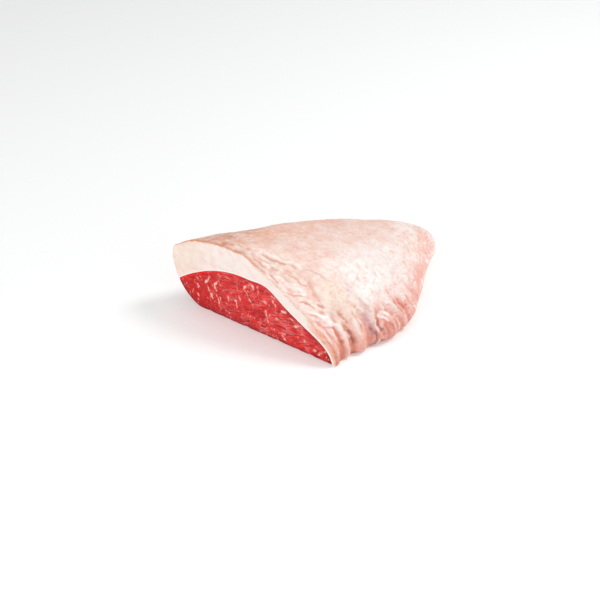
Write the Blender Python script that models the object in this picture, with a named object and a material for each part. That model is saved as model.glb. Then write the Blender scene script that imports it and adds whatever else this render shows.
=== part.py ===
"""Raw picanha, the triangular cap of a beef rump, lying lean side down.

The lean muscle and the fat cap over it are cut from one lofted body. The loft runs from the flat cut face,
the wide end, to the rounded point of the triangle. A curved surface under the fat then parts the two, with a
hair of room between them.

Frame: +Z up from the table, +Y from the cut face to the point, origin under the middle. Lengths are given in
millimetres and turned into metres where a mesh is made.
"""

import math

import bmesh
import bpy
import numpy as np
from mathutils import Vector, noise

MM = 0.001

# Driving sizes
LENGTH = 204.0  # cut face to point
CUT_Y = -LENGTH / 2
PAST_CUT = 6.0  # how far the loft runs past the cut face before it is trimmed
SPLIT_GAP = 0.45  # room between lean and fat, measured straight up

# The body's sections, square to the length. Each row: distance from the cut face, left edge, right edge,
# ridge line, height of the ridge, height of the widest point on the left and on the right, and how far
# the section's foot stands in from those two widest points.
SECTIONS = (
    (0, -97.5, 80, -30, 74.3, 42, 2.5, 28, 2),
    (20, -88, 82.5, -33, 71.5, 40, 6, 26, 4),
    (45, -73, 92, -24, 68.2, 36, 9, 22, 6),
    (80, -54, 96, -13, 63, 30, 10, 19, 7),
    (120, -35, 79, 1, 52, 25, 10, 15, 7),
    (160, -11, 58, 18, 37.5, 18, 9, 11, 6),
    (188, 0, 47, 25, 24, 12, 8, 8, 5),
    (204, 4, 44, 25, 15.5, 9, 7, 7, 4),
)
SECTION_FIELDS = ("left", "right", "ridge", "height", "belly", "toe", "left_foot", "right_foot")

# The slope from the ridge down to the right: a hanging line at the cut, a blunter shoulder further back
SLOPE_POWER = (1.4, 2.5)
SLOPE_ROOT = (0.63, 0.78)
SHOULDER_FROM, SHOULDER_TO = 0.0, 70.0
UNDERCUT_POWER = 1.75  # 1 is a chamfer and 2 a quarter ellipse under the left side

TIP_ROUNDING = 26.0  # length of the rounded point

# The top of the lean muscle under the fat. Each row: distance from the cut face, crown's height, crown's place
# across, drop from the crown to the left edge, width of the fat rim that stands on the table at the right, and
# rise of a second, lower swelling beside the crown.
LEAN_TOPS = (
    (0, 51, -20, 33, 2, 6),
    (20, 52, -15, 31.5, 6, 3),
    (45, 52, -10, 30, 10, 0.5),
    (80, 48, -4, 28, 13, 0),
    (120, 41, 8, 24, 13, 0),
    (160, 27, 22, 15, 12, 0),
    (188, 12, 25, 9, 14, 0),
    (204, -6, 25, 6, 16, 0),
)
LEAN_FIELDS = ("crown", "crown_x", "drop", "rim", "swelling")
SWELLING_X, SWELLING_REACH = 8.5, 15.5
LEAN_DROP_POWER = 1.8
LEAN_SLOPE_POWER = 1.45
LEAN_SLOPE_ROOT = 0.72

# Creases that gather the fat along its right edge. Each row: the crease's line in plan as (across, distance from
# the cut face) points, its depth where the line starts and where it ends, and its half width.
CREASES = (
    (((84, 8), (77, 12), (70, 15.5), (58, 20)), 3.6, 0.0, 3.2),
    (((86, 19.5), (80, 21.2), (72, 22.6), (58, 25)), 3.2, 0.0, 3.2),
    (((93, 35), (82, 39), (72, 41.5), (50, 49)), 4.6, 0.0, 6.0),
    (((98, 40), (89, 43), (85, 51), (87, 62), (91, 66), (99, 72)), 3.0, 2.8, 3.4),
    (((100, 83), (92, 81), (86, 74), (72, 68)), 3.0, 0.0, 3.4),
    (((92, 108), (82, 101), (70, 95)), 1.6, 0.0, 3.5),
)
# Rounded folds that swell between them, and the shoulder of the cut's edge: across, distance from the cut face,
# rise, reach.
FOLDS = (
    (-13.5, 2, 3.8, 7.5),
    (83, 15, 0.6, 5.0),
    (86, 30, 2.4, 7.0),
    (93, 56, 1.2, 9.0),
)
# The step along the cut where the top layer of fat begins: its line in plan, its rise, and how far back the rise
# dies away.
STEP_LINE = ((-32, 9), (-8, 18), (2, 21), (12, 27), (30, 25), (50, 19), (66, 10))
STEP_RISE = 1.5
STEP_EDGE = 2.2
STEP_RUN = 34.0
LUMP_HEIGHT, LUMP_SIZE = 0.9, 22.0  # soft unevenness of the fat
LIFT_FROM_TABLE = 6.0  # below this height the relief moves the surface sideways only

# Mesh density
FINE_SPACING, FINE_UNTIL = 2.1, 84.0  # rings of the loft over the folds
COARSE_RINGS, POINT_RINGS = 19, 10  # and over the rest
TOP_SHARES = np.concatenate([np.linspace(0, 0.68, 29)[:-1], np.linspace(0.68, 1, 27)])
FOOT_STEPS = 7
SPLIT_GRID = (34, 36)

# Blocks that cut the body, in millimetres
SPLIT_SPAN = (230.0, 240.0)
SPLIT_LOWEST, SPLIT_BOTTOM = -25.0, -40.0
KNIFE_SIZE = (300.0, 80.0, 160.0)

SHARP_ANGLE = math.radians(40)
LEAN_RED = (0.56, 0.035, 0.04, 1.0)
FAT_CREAM = (0.85, 0.62, 0.52, 1.0)


def clear_scene():
    for old in list(bpy.data.objects):
        bpy.data.objects.remove(old, do_unlink=True)


def new_collection(name, hidden=False):
    made = bpy.data.collections.new(name)
    bpy.context.scene.collection.children.link(made)
    made.hide_render = hidden
    return made


def flesh_material(name, colour, roughness):
    material = bpy.data.materials.new(name)
    material.use_nodes = True
    shader = material.node_tree.nodes["Principled BSDF"]
    shader.inputs["Base Color"].default_value = colour
    shader.inputs["Roughness"].default_value = roughness
    shader.inputs["Metallic"].default_value = 0.0
    return material


def smooth_curve(stations, values, at):
    """A Catmull-Rom curve through values at unevenly spaced stations, read at one place."""
    last = len(stations) - 1
    k = min(max(int(np.searchsorted(stations, at)) - 1, 0), last - 1)

    def slope(i):
        before, after = max(i - 1, 0), min(i + 1, last)
        return (values[after] - values[before]) / (stations[after] - stations[before])

    span = stations[k + 1] - stations[k]
    t = (at - stations[k]) / span
    if t < 0:
        return values[k] + slope(k) * (at - stations[k])
    start, end = slope(k) * span, slope(k + 1) * span
    return (
        values[k] * (2 * t**3 - 3 * t**2 + 1)
        + start * (t**3 - 2 * t**2 + t)
        + values[k + 1] * (3 * t**2 - 2 * t**3)
        + end * (t**3 - t**2)
    )


def row_at(rows, fields, distance):
    """The named sizes of a table's rows at one distance from the cut face."""
    stations = [row[0] for row in rows]
    return {
        field: smooth_curve(stations, [row[k + 1] for row in rows], distance)
        for k, field in enumerate(fields)
    }


def smooth(value, low, high):
    """0 below low, 1 above high, with a soft turn between."""
    t = np.clip((value - low) / (high - low), 0, 1)
    return t * t * (3 - 2 * t)


def section_sizes(distance):
    """A section's sizes, drawn in towards its middle along the rounded point."""
    sizes = row_at(SECTIONS, SECTION_FIELDS, distance)
    into_tip = (distance - (LENGTH - TIP_ROUNDING)) / TIP_ROUNDING
    if into_tip > 0:
        share = math.sqrt(max(1 - into_tip**2, 0.0))
        middle = (sizes["left"] + sizes["right"]) / 2
        for field in ("left", "right", "ridge"):
            sizes[field] = middle + (sizes[field] - middle) * share
        for field in ("left_foot", "right_foot"):
            sizes[field] *= share
        for field in ("height", "belly", "toe"):
            sizes[field] *= 0.35 + 0.65 * share
    return sizes


def section_outline(distance):
    """Dense (across, up) points from the left foot over the ridge to the right foot."""
    sizes = section_sizes(distance)
    shoulder = smooth(distance, SHOULDER_FROM, SHOULDER_TO)
    power = SLOPE_POWER[0] + (SLOPE_POWER[1] - SLOPE_POWER[0]) * shoulder
    root = SLOPE_ROOT[0] + (SLOPE_ROOT[1] - SLOPE_ROOT[0]) * shoulder
    quarter = np.linspace(0, math.pi / 2, 25)
    bend = 2 / UNDERCUT_POWER
    undercut_x = sizes["left"] + sizes["left_foot"] * (1 - np.sin(quarter) ** bend)
    undercut_z = sizes["belly"] * (1 - np.cos(quarter) ** bend)
    wall_x = sizes["ridge"] - (sizes["ridge"] - sizes["left"]) * np.cos(quarter)
    wall_z = sizes["belly"] + (sizes["height"] - sizes["belly"]) * np.sin(quarter)
    run = np.sin(np.linspace(0, math.pi / 2, 90))
    slope_x = sizes["ridge"] + (sizes["right"] - sizes["ridge"]) * run
    slope_z = sizes["toe"] + (sizes["height"] - sizes["toe"]) * (1 - run**power) ** root
    toe_x = sizes["right"] - sizes["right_foot"] * (1 - np.cos(quarter))
    toe_z = sizes["toe"] * (1 - np.sin(quarter))
    across = np.concatenate([undercut_x, wall_x[1:], slope_x[1:], toe_x[1:]])
    up = np.concatenate([undercut_z, wall_z[1:], slope_z[1:], toe_z[1:]])
    return across, up


def spread(across, up, shares):
    """The same line with its points at given shares of its length."""
    travelled = np.concatenate([[0], np.cumsum(np.hypot(np.diff(across), np.diff(up)))])
    places = shares * travelled[-1]
    return np.interp(places, travelled, across), np.interp(places, travelled, up)


def beside(path, across, distance):
    """How far each place lies from a bent line, and the share of the line that lies before its nearest point."""
    points = np.array(path, dtype=float)
    steps = np.linalg.norm(np.diff(points, axis=0), axis=1)
    passed = 0.0
    nearest = np.full(across.shape, np.inf)
    share = np.zeros(across.shape)
    for start, end, step in zip(points, points[1:], steps):
        line = end - start
        t = ((across - start[0]) * line[0] + (distance - start[1]) * line[1]) / step**2
        t = np.clip(t, 0, 1)
        aside = np.hypot(across - start[0] - line[0] * t, distance - start[1] - line[1] * t)
        closer = aside < nearest
        nearest = np.where(closer, aside, nearest)
        share = np.where(closer, (passed + t * step) / steps.sum(), share)
        passed += step
    return nearest, share


def relief(across, distance):
    """How far the fat stands out from the plain loft at each place in plan, in millimetres."""
    pressed = np.zeros(across.shape)
    for path, depth_from, depth_to, half_width in CREASES:
        aside, share = beside(path, across, distance)
        depth = depth_from + (depth_to - depth_from) * smooth(share, 0.1, 1)
        pressed = np.maximum(pressed, depth * np.exp(-((aside / half_width) ** 2)))
    raised = np.zeros(across.shape)
    for fold_x, fold_distance, rise, reach in FOLDS:
        away = np.hypot(across - fold_x, distance - fold_distance)
        raised += rise * np.exp(-((away / reach) ** 2))
    line_x, line_distance = np.array(STEP_LINE, dtype=float).T
    past_step = distance - np.interp(across, line_x, line_distance)
    in_reach = smooth(across, line_x[0] - 12, line_x[0] + 12) * (1 - smooth(across, line_x[-1] - 16, line_x[-1]))
    raised += (
        STEP_RISE * in_reach * smooth(past_step, -STEP_EDGE, STEP_EDGE) * (1 - smooth(past_step, STEP_EDGE, STEP_RUN))
    )
    lumps = [noise.noise(Vector((x, y, 0)) / LUMP_SIZE) for x, y in zip(across, distance)]
    return raised - pressed + LUMP_HEIGHT * np.array(lumps)


def ring_distances():
    """Where the loft's rings stand: close together over the folds and round the point."""
    straight = LENGTH - TIP_ROUNDING
    fine = np.arange(-PAST_CUT, FINE_UNTIL, FINE_SPACING)
    coarse = np.linspace(FINE_UNTIL, straight, COARSE_RINGS, endpoint=False)
    turn = np.linspace(0, math.pi / 2, POINT_RINGS + 1)[:-1]
    return np.concatenate([fine, coarse, straight + TIP_ROUNDING * np.sin(turn)])


def ring_points(distance):
    """One closed ring of the loft: over the top from the left foot, then back along the table."""
    across, up = spread(*section_outline(distance), TOP_SHARES)
    foot = np.linspace(across[-1], across[0], FOOT_STEPS + 1)[1:-1]
    return np.concatenate([across, foot]), np.concatenate([up, np.zeros_like(foot)])


def whole_cut(collection):
    """The whole piece of meat as one closed body."""
    shape = bmesh.new()
    rings = []
    for distance in ring_distances():
        across, up = ring_points(distance)
        y = CUT_Y + distance
        rings.append([shape.verts.new((x * MM, y * MM, z * MM)) for x, z in zip(across, up)])
    for near, far in zip(rings, rings[1:]):
        for k in range(len(near)):
            after = (k + 1) % len(near)
            shape.faces.new((near[k], near[after], far[after], far[k]))
    shape.faces.new(reversed(rings[0]))
    point = shape.faces.new(rings[-1])
    bmesh.ops.triangulate(shape, faces=[point])
    bmesh.ops.recalc_face_normals(shape, faces=shape.faces)
    relieve(shape)
    return finish_mesh(shape, "whole_cut", collection)


def relieve(shape):
    """Gives the fat its folds, creases and lumps, and leaves the underside flat on the table."""
    shape.normal_update()
    places = np.array([vertex.co[:] for vertex in shape.verts]) / MM
    normals = np.array([vertex.normal[:] for vertex in shape.verts])
    moves = normals * relief(places[:, 0], places[:, 1] - CUT_Y)[:, None]
    moves[:, 2] *= smooth(places[:, 2], 0, LIFT_FROM_TABLE)
    moves[places[:, 2] <= 0, 2] = 0
    for vertex, place in zip(shape.verts, (places + moves) * MM):
        vertex.co = place


def finish_mesh(shape, name, collection):
    mesh = bpy.data.meshes.new(name)
    shape.to_mesh(mesh)
    shape.free()
    made = bpy.data.objects.new(name, mesh)
    collection.objects.link(made)
    return made


def lean_top(across, distance):
    """Height of the muscle's top surface at one place."""
    sizes = row_at(LEAN_TOPS, LEAN_FIELDS, distance)
    body = section_sizes(min(distance, LENGTH))
    swelling = max(sizes["swelling"], 0.0) * math.exp(-(((across - SWELLING_X) / SWELLING_REACH) ** 2))
    if across < sizes["crown_x"]:
        share = (sizes["crown_x"] - across) / (sizes["crown_x"] - body["left"] + 1.0)
        return sizes["crown"] - sizes["drop"] * abs(share) ** LEAN_DROP_POWER + swelling
    edge = body["right"] - body["right_foot"] - sizes["rim"]
    share = (across - sizes["crown_x"]) / max(edge - sizes["crown_x"], 5.0)
    if share > 1 or sizes["crown"] < 0:
        return min(sizes["crown"], 0.0) - 30.0 * max(share - 1, 0.0)
    return sizes["crown"] * (1 - share**LEAN_SLOPE_POWER) ** LEAN_SLOPE_ROOT + swelling


def put_away(block, name, collection):
    """Names a cutting block and moves it to the collection that isn't rendered."""
    block.name = name
    for parent in list(block.users_collection):
        parent.objects.unlink(block)
    collection.objects.link(block)
    block.display_type = "WIRE"
    block.hide_render = True
    return block


def lean_room(name, lift, collection):
    """A block that fills everything below the muscle's top surface, raised by lift."""
    columns, rows = SPLIT_GRID
    bpy.ops.mesh.primitive_grid_add(x_subdivisions=columns, y_subdivisions=rows, size=1.0)
    block = put_away(bpy.context.object, name, collection)
    shape = bmesh.new()
    shape.from_mesh(block.data)
    for vertex in shape.verts:
        across = vertex.co.x * SPLIT_SPAN[0]
        y = vertex.co.y * SPLIT_SPAN[1]
        height = max(lean_top(across, y - CUT_Y) + lift, SPLIT_LOWEST)
        vertex.co = Vector((across, y, height)) * MM
    bmesh.ops.triangulate(shape, faces=shape.faces, quad_method="FIXED")
    top = list(shape.faces)
    lower = bmesh.ops.extrude_face_region(shape, geom=top)
    for vertex in (v for v in lower["geom"] if isinstance(v, bmesh.types.BMVert)):
        vertex.co.z = SPLIT_BOTTOM * MM
    bmesh.ops.recalc_face_normals(shape, faces=shape.faces)
    shape.to_mesh(block.data)
    shape.free()
    return block


def add_boolean(target, cutter, operation):
    modifier = target.modifiers.new(cutter.name, "BOOLEAN")
    modifier.object = cutter
    modifier.operation = operation
    modifier.solver = "EXACT"


def cut_block(collection):
    """What the knife took away: everything in front of the cut face."""
    bpy.ops.mesh.primitive_cube_add(size=1.0)
    block = put_away(bpy.context.object, "cut_block", collection)
    block.scale = Vector(KNIFE_SIZE) * MM
    block.location = (0, (CUT_Y - KNIFE_SIZE[1] / 2) * MM, 0)
    return block


def piece(name, body, cutters, material, collection):
    made = bpy.data.objects.new(name, body.data.copy())
    made.data.name = name
    collection.objects.link(made)
    for cutter, operation in cutters:
        add_boolean(made, cutter, operation)
    made.data.materials.clear()
    made.data.materials.append(material)
    made.data.shade_smooth()
    made.data.set_sharp_from_angle(angle=SHARP_ANGLE)
    return made


def build():
    clear_scene()
    parts = new_collection("raw_picanha")
    cutters = new_collection("cutters", hidden=True)
    body = whole_cut(cutters)
    body.hide_render = True
    knife = cut_block(cutters)
    under_lean_top = lean_room("lean_room", 0.0, cutters)
    under_fat = lean_room("fat_underside", SPLIT_GAP, cutters)
    lean_material = flesh_material("lean_meat", LEAN_RED, 0.35)
    fat_material = flesh_material("fat", FAT_CREAM, 0.45)
    piece("lean_muscle", body, [(knife, "DIFFERENCE"), (under_lean_top, "INTERSECT")], lean_material, parts)
    piece("fat_cap", body, [(knife, "DIFFERENCE"), (under_fat, "DIFFERENCE")], fat_material, parts)


build()
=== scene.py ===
"""Looks of the raw picanha: the finely shaped lean and fat, their materials, floor, light and camera.

The two visible pieces are lofts through the same sections as the solids that they stand for, with
many more points, so the fine folds, cracks and fibres are real shapes. Lengths are in millimetres
until a mesh is made. Colours are as seen, 0 to 255, until linear() turns them into linear values.
"""

import math

import bmesh
import bpy
import numpy as np
from mathutils import Matrix, Vector, noise


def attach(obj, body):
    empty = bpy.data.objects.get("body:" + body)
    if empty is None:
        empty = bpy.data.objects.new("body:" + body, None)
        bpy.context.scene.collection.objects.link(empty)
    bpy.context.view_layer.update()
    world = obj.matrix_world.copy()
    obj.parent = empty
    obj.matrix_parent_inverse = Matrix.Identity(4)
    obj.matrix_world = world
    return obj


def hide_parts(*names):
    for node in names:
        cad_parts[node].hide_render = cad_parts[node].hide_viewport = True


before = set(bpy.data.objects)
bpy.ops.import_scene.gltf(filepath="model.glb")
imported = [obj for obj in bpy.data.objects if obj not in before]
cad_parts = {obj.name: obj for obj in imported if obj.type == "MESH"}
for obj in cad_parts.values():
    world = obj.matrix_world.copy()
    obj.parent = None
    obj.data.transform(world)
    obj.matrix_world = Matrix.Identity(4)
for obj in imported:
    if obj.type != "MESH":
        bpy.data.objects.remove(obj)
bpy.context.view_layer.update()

MM = 0.001
SAME_PLACE = 1e-6  # points of a mesh that lie closer than this, in metres, are one

# The body of the meat, as in the solids: a section's distance from the cut, then the sizes that
# SECTION_FIELDS names
LENGTH = 204.0
CUT_Y = -LENGTH / 2
SECTIONS = (
    (0, -98.5, 80, -30, 74.3, 42, 2.5, 29, 2),
    (20, -88, 82.5, -33, 71.5, 40, 6, 26, 4),
    (45, -73, 92, -24, 68.2, 36, 9, 22, 6),
    (80, -54, 96, -13, 63, 30, 10, 19, 7),
    (120, -35, 79, 1, 52, 25, 10, 15, 7),
    (160, -11, 58, 18, 37.5, 18, 9, 11, 6),
    (188, 0, 47, 25, 24, 12, 8, 8, 5),
    (204, 4, 44, 25, 15.5, 9, 7, 7, 4),
)
SECTION_FIELDS = ("left", "right", "ridge", "height", "belly", "toe", "left_foot", "right_foot")
SLOPE_POWER = (1.4, 2.5)
SLOPE_ROOT = (0.63, 0.78)
SHOULDER_FROM, SHOULDER_TO = 0.0, 70.0
UNDERCUT_POWER = 1.75
TIP_ROUNDING = 26.0

# The top of the lean muscle under the fat, in the same way. lift is not in the solids: it raises the
# top near the thin end of the cut, most at LIFT_X
LEAN_TOPS = (
    (0, 51, -20, 33, 2, 6, 3.2),
    (20, 52, -15, 31.5, 6, 3, 1.6),
    (45, 52, -10, 30, 10, 0.5, 0),
    (80, 48, -4, 28, 13, 0, 0),
    (120, 41, 8, 24, 13, 0, 0),
    (160, 27, 22, 15, 12, 0, 0),
    (188, 12, 25, 9, 14, 0, 0),
    (204, -6, 25, 6, 16, 0, 0),
)
LEAN_FIELDS = ("crown", "crown_x", "drop", "rim", "swelling", "lift")
LEAN_DROP_POWER = 1.8
LEAN_SLOPE_POWER = 1.45
LEAN_SLOPE_ROOT = 0.72
SWELLING_X, SWELLING_REACH = 8.5, 15.5
LIFT_X, LIFT_REACH = 69.0, 14.0

# Relief of the fat: creases, folds and the step along the cut
CREASES = (
    (((84, 8), (77, 12), (70, 15.5), (58, 20)), 3.6, 0.0, 3.2),
    (((86, 19.5), (80, 21.2), (72, 22.6), (58, 25)), 3.2, 0.0, 3.2),
    (((93, 35), (82, 39), (72, 41.5), (50, 49)), 4.6, 0.0, 6.0),
    (((98, 40), (89, 43), (85, 51), (87, 62), (91, 66), (99, 72)), 3.0, 2.8, 3.4),
    (((100, 83), (92, 81), (86, 74), (72, 68)), 3.0, 0.0, 3.4),
    (((92, 108), (82, 101), (70, 95)), 1.6, 0.0, 3.5),
)
FOLDS = (
    (-13.5, 2, 3.8, 7.5),
    (83, 15, 0.6, 5.0),
    (86, 30, 2.4, 7.0),
    (93, 56, 1.2, 9.0),
)
STEP_LINE = ((-32, 9), (-8, 18), (2, 21), (12, 27), (30, 25), (50, 19), (66, 10))
STEP_RISE = 1.5
STEP_EDGE = 2.2
STEP_RUN = 34.0
LUMP_HEIGHT, LUMP_SIZE = 0.9, 22.0
FOOT_HEIGHT = 6.0  # all relief fades out towards the floor from this height
# The fat's upper left corner at the knife stands out a little: its place and reach, both as (across,
# distance, up), and how far
CORNER, CORNER_REACH, CORNER_RISE = (-95.0, 0.0, 52.5), (6.5, 14.0, 5.5), 2.3
# What stands out or lies deep, which sets the painted shade in hollows and the painted highlight on
# crests: how often the relief is averaged to compare it with, and the height that counts as 1, near by and
# farther round
NEAR_PASSES, NEAR_HEIGHT = 14, 0.35
WIDE_PASSES, WIDE_HEIGHT = 110, 1.1

# Colours of the outer fat, its cut face, the lean and its marbling, and the painted shades, highlights and
# glints on them
OUTER_FAT = (249, 220, 209)
WHITE = (255, 250, 246)
PALE = (254, 247, 242)
BLUSH = (236, 176, 158)
TAN_SHADE = (186, 124, 102)
# Painted shade for the fat's hollows and for one crack
PAINTED_HOLLOW_SHADE = (228, 152, 130)
BROWN = (206, 142, 108)
EDGE_BROWN = (222, 142, 98)
CRACK = (222, 156, 132)
PINK = (240, 166, 160)
RUST = (208, 112, 84)
DARK_RED = (172, 82, 74)
MAUVE = (218, 186, 186)
CUT_FAT = (252, 237, 229)
CUT_FAT_LEFT = (249, 228, 214)
CUT_BLUSH = (246, 206, 194)
# Painted highlight along the fat's raised edge at the lean
PAINTED_EDGE_HIGHLIGHT = (255, 255, 253)
PEACH = (246, 186, 158)
# Painted shade low on the gathered lobes, near the floor
PAINTED_FOOT_SHADE = (224, 138, 114)
# Painted shade for the deepest hollows of the gathered folds
PAINTED_FOLD_SHADE = (216, 122, 92)
FINE_BLUSH = (240, 180, 164)
TORN_CREAM = (242, 204, 184)
LEAN_RED = (206, 15, 25)
LEAN_WARM = (234, 40, 36)
# Dark red of the lean's bundles, grain and patches, also used as painted shade near its lower edge
LEAN_DARK_AND_SHADE = (165, 7, 23)
LEAN_LEFT = (204, 1, 6)
LEAN_TIP = (236, 48, 42)
LEAN_THIN_END = (156, 4, 18)
LEAN_GRAIN = (242, 104, 98)
FINE_GRAIN = (238, 110, 102)
LEAN_RIM = (246, 0, 4)
# Painted shade along the lean's top under the fat's edge on the right, and along its lower edge
PAINTED_RIM_SHADE = (146, 8, 22)
LEAN_GREY = (228, 138, 136)
# Pale cores of the streaks of fat, also used for the painted glints
MARBLING_AND_GLINT = (254, 218, 210)
MARBLING_AND_GLINT_EDGE = (240, 128, 118)
MEMBRANE = (226, 160, 156)

# Narrow strokes in the fat: a line in plan, how far it stands out (below 0 it is a crack), its half
# width, its colour, and how much of that colour it takes
STROKES = (
    (((-10, 1.4), (-7, 0.9), (-3, 0.8), (3, 0.8), (10, 0.8)), -0.9, 0.8, BROWN, 0.6),
    (((-8, 16.4), (-3, 17.4), (0.5, 18.4), (9, 21.2), (13, 23)), -1.1, 1.0, BROWN, 0.65),
    (((-8, 18.6), (-2.5, 19.8), (3, 21), (10, 24), (17.5, 27.6), (24, 28.6)), 1.3, 1.1, WHITE, 0.6),
    (((6, 10.5), (9, 11.3), (12, 12.4)), -1.5, 1.3, BROWN, 0.6),
    (((-14, 8), (-8, 6), (-2, 7), (3, 5)), -1.4, 0.9, CRACK, 0.5),
    (((-3, 9.5), (3, 10), (6, 8)), 1.2, 1.2, WHITE, 0.55),
    (((10, 4), (15, 3), (20, 2)), -1.6, 1.0, CRACK, 0.6),
    (((14, 6.5), (19, 8), (24, 7)), 1.2, 1.2, WHITE, 0.5),
    (((18, 16), (24, 18), (31, 18), (37, 20)), -1.1, 1.0, CRACK, 0.4),
    (((28, 1.6), (31.5, 1.8), (35, 4.5), (39.5, 11.5)), -1.5, 1.0, CRACK, 0.7),
    (((24.5, 7), (28.5, 8.4), (33, 11.8), (38, 14.3)), 1.4, 1.2, WHITE, 0.6),
    (((25, 11.4), (34, 13.8), (40, 14.2)), 0.8, 1.5, WHITE, 0.4),
    (((40, 3), (45, 8), (48, 9.4), (52, 11)), -1.6, 0.9, CRACK, 0.6),
    (((49.5, 14.7), (52.5, 15.9), (56, 16.8)), -1.4, 0.9, CRACK, 0.5),
    (((23, 27.4), (29.5, 32), (38, 34.5), (45.5, 35.7)), -0.6, 0.9, MAUVE, 0.6),
    (((47.5, 0.8), (54, 8.3), (59, 12.1), (64, 16.2)), 1.1, 1.3, WHITE, 0.85),
    (((56.5, 7.4), (62, 12.1), (68.5, 17.7), (76.5, 17)), 1.1, 1.3, WHITE, 0.85),
    (((52, 3), (56, 7), (60, 9)), -1.2, 0.9, PINK, 0.5),
    (((63, 4.3), (66, 9.8), (68.5, 15.4)), -1.0, 1.0, (232, 168, 172), 0.7),
    (((56, 2.1), (62.5, 4.9), (69.5, 6.6), (75, 5.7)), -1.1, 1.0, PINK, 0.6),
    (((62, 1), (68, 3.4), (74, 3.6)), 1.1, 1.0, WHITE, 0.5),
    (((66.5, 1), (73.5, 1.6), (78.5, 2.4)), -1.1, 0.8, RUST, 0.4),
    # This crack takes the painted hollow shade
    (((70.5, 8), (76, 8.8), (80, 7.8)), -1.3, 0.8, PAINTED_HOLLOW_SHADE, 0.6),
    (((66, 13.5), (70, 13.7), (73.5, 14.1), (77.5, 13.9), (80, 12.5)), -0.9, 1.5, (226, 112, 76), 0.9),
    (((75.5, 14.1), (78.5, 13.7)), -0.6, 1.3, (186, 92, 60), 0.8),
    (((69, 18.6), (75, 19.4), (81, 18)), 0.9, 1.0, WHITE, 0.7),
    (((72, 17), (78, 16.6), (83, 15.5)), 0.0, 2.0, (253, 222, 210), 0.5),
    (((75, 23), (78.5, 23.5), (81, 23.4), (83, 22.8)), -1.0, 1.5, (176, 84, 58), 0.95),
    (((74, 21.4), (76.5, 20.6), (78.4, 21.8), (77.4, 23.4)), 1.0, 0.8, WHITE, 0.6),
    (((64, 24), (69, 25.6), (74, 26)), -1.2, 0.9, CRACK, 0.4),
    (((74, 30.2), (78.5, 30.6), (83, 28.8)), 1.0, 1.0, WHITE, 0.5),
    (((70, 34), (77, 34.5), (84, 33)), -1.0, 0.9, CRACK, 0.4),
    (((68, 46), (75, 46.6), (82, 48.2)), -0.8, 1.2, (214, 188, 176), 0.6),
    (((56, 45.6), (64, 44.6), (72, 43.6)), 0.0, 1.6, (226, 204, 206), 0.6),
    # Painted light: a pale stroke that lightens the shade at the crease's upper end
    (((62, 44.4), (70, 43.2), (79, 42)), 0.0, 2.6, (255, 242, 234), 0.7),
    (((76, 42.4), (84, 41.4), (90, 41.4)), 0.0, 3.0, (212, 170, 176), 0.8),
    (((84.5, 40), (88, 41.5), (92, 43.4)), -0.4, 1.5, (168, 88, 78), 0.85),
    (((84.5, 48.5), (86.8, 46.6), (88.8, 45.2), (91.6, 46.2)), 1.1, 0.75, WHITE, 0.85),
    (((85.5, 51.5), (88.4, 47.8), (90.8, 47.6), (92.2, 50.5)), -1.6, 0.8, DARK_RED, 0.9),
    (((88, 52), (92, 55), (95, 59)), 0.0, 4.5, (208, 108, 84), 0.42),
    (((84, 54), (86, 58), (89.5, 61.4)), 0.9, 0.9, WHITE, 0.7),
    (((84.2, 51.8), (87.5, 55.1), (91.4, 57.8)), 1.1, 0.9, WHITE, 0.85),
    (((90, 51.6), (93.4, 52.4), (96, 51)), -0.5, 0.7, (200, 104, 84), 0.6),
    (((91, 56.4), (94, 58.2), (96.5, 58)), -0.5, 0.7, (200, 104, 84), 0.6),
    (((91, 62.4), (94.5, 63.5), (97, 60)), -0.6, 0.8, (206, 108, 90), 0.6),
    (((90, 66.5), (94, 68), (97, 65)), 1.0, 0.8, WHITE, 0.5),
    (((82, 62), (84.5, 67), (88, 70)), 1.0, 0.9, WHITE, 0.6),
    (((85, 71.5), (88, 73), (91, 74.3), (94.5, 75.4)), -1.2, 0.9, (216, 96, 72), 0.8),
    (((87.8, 77.3), (89.6, 80.5), (91.5, 82.2)), -1.3, 0.8, (220, 104, 90), 0.8),
    (((84, 88), (90, 90), (95, 92)), -1.1, 0.9, PINK, 0.5),
    (((78, 99), (86, 98), (92, 100)), -1.0, 0.9, PINK, 0.5),
)

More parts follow.
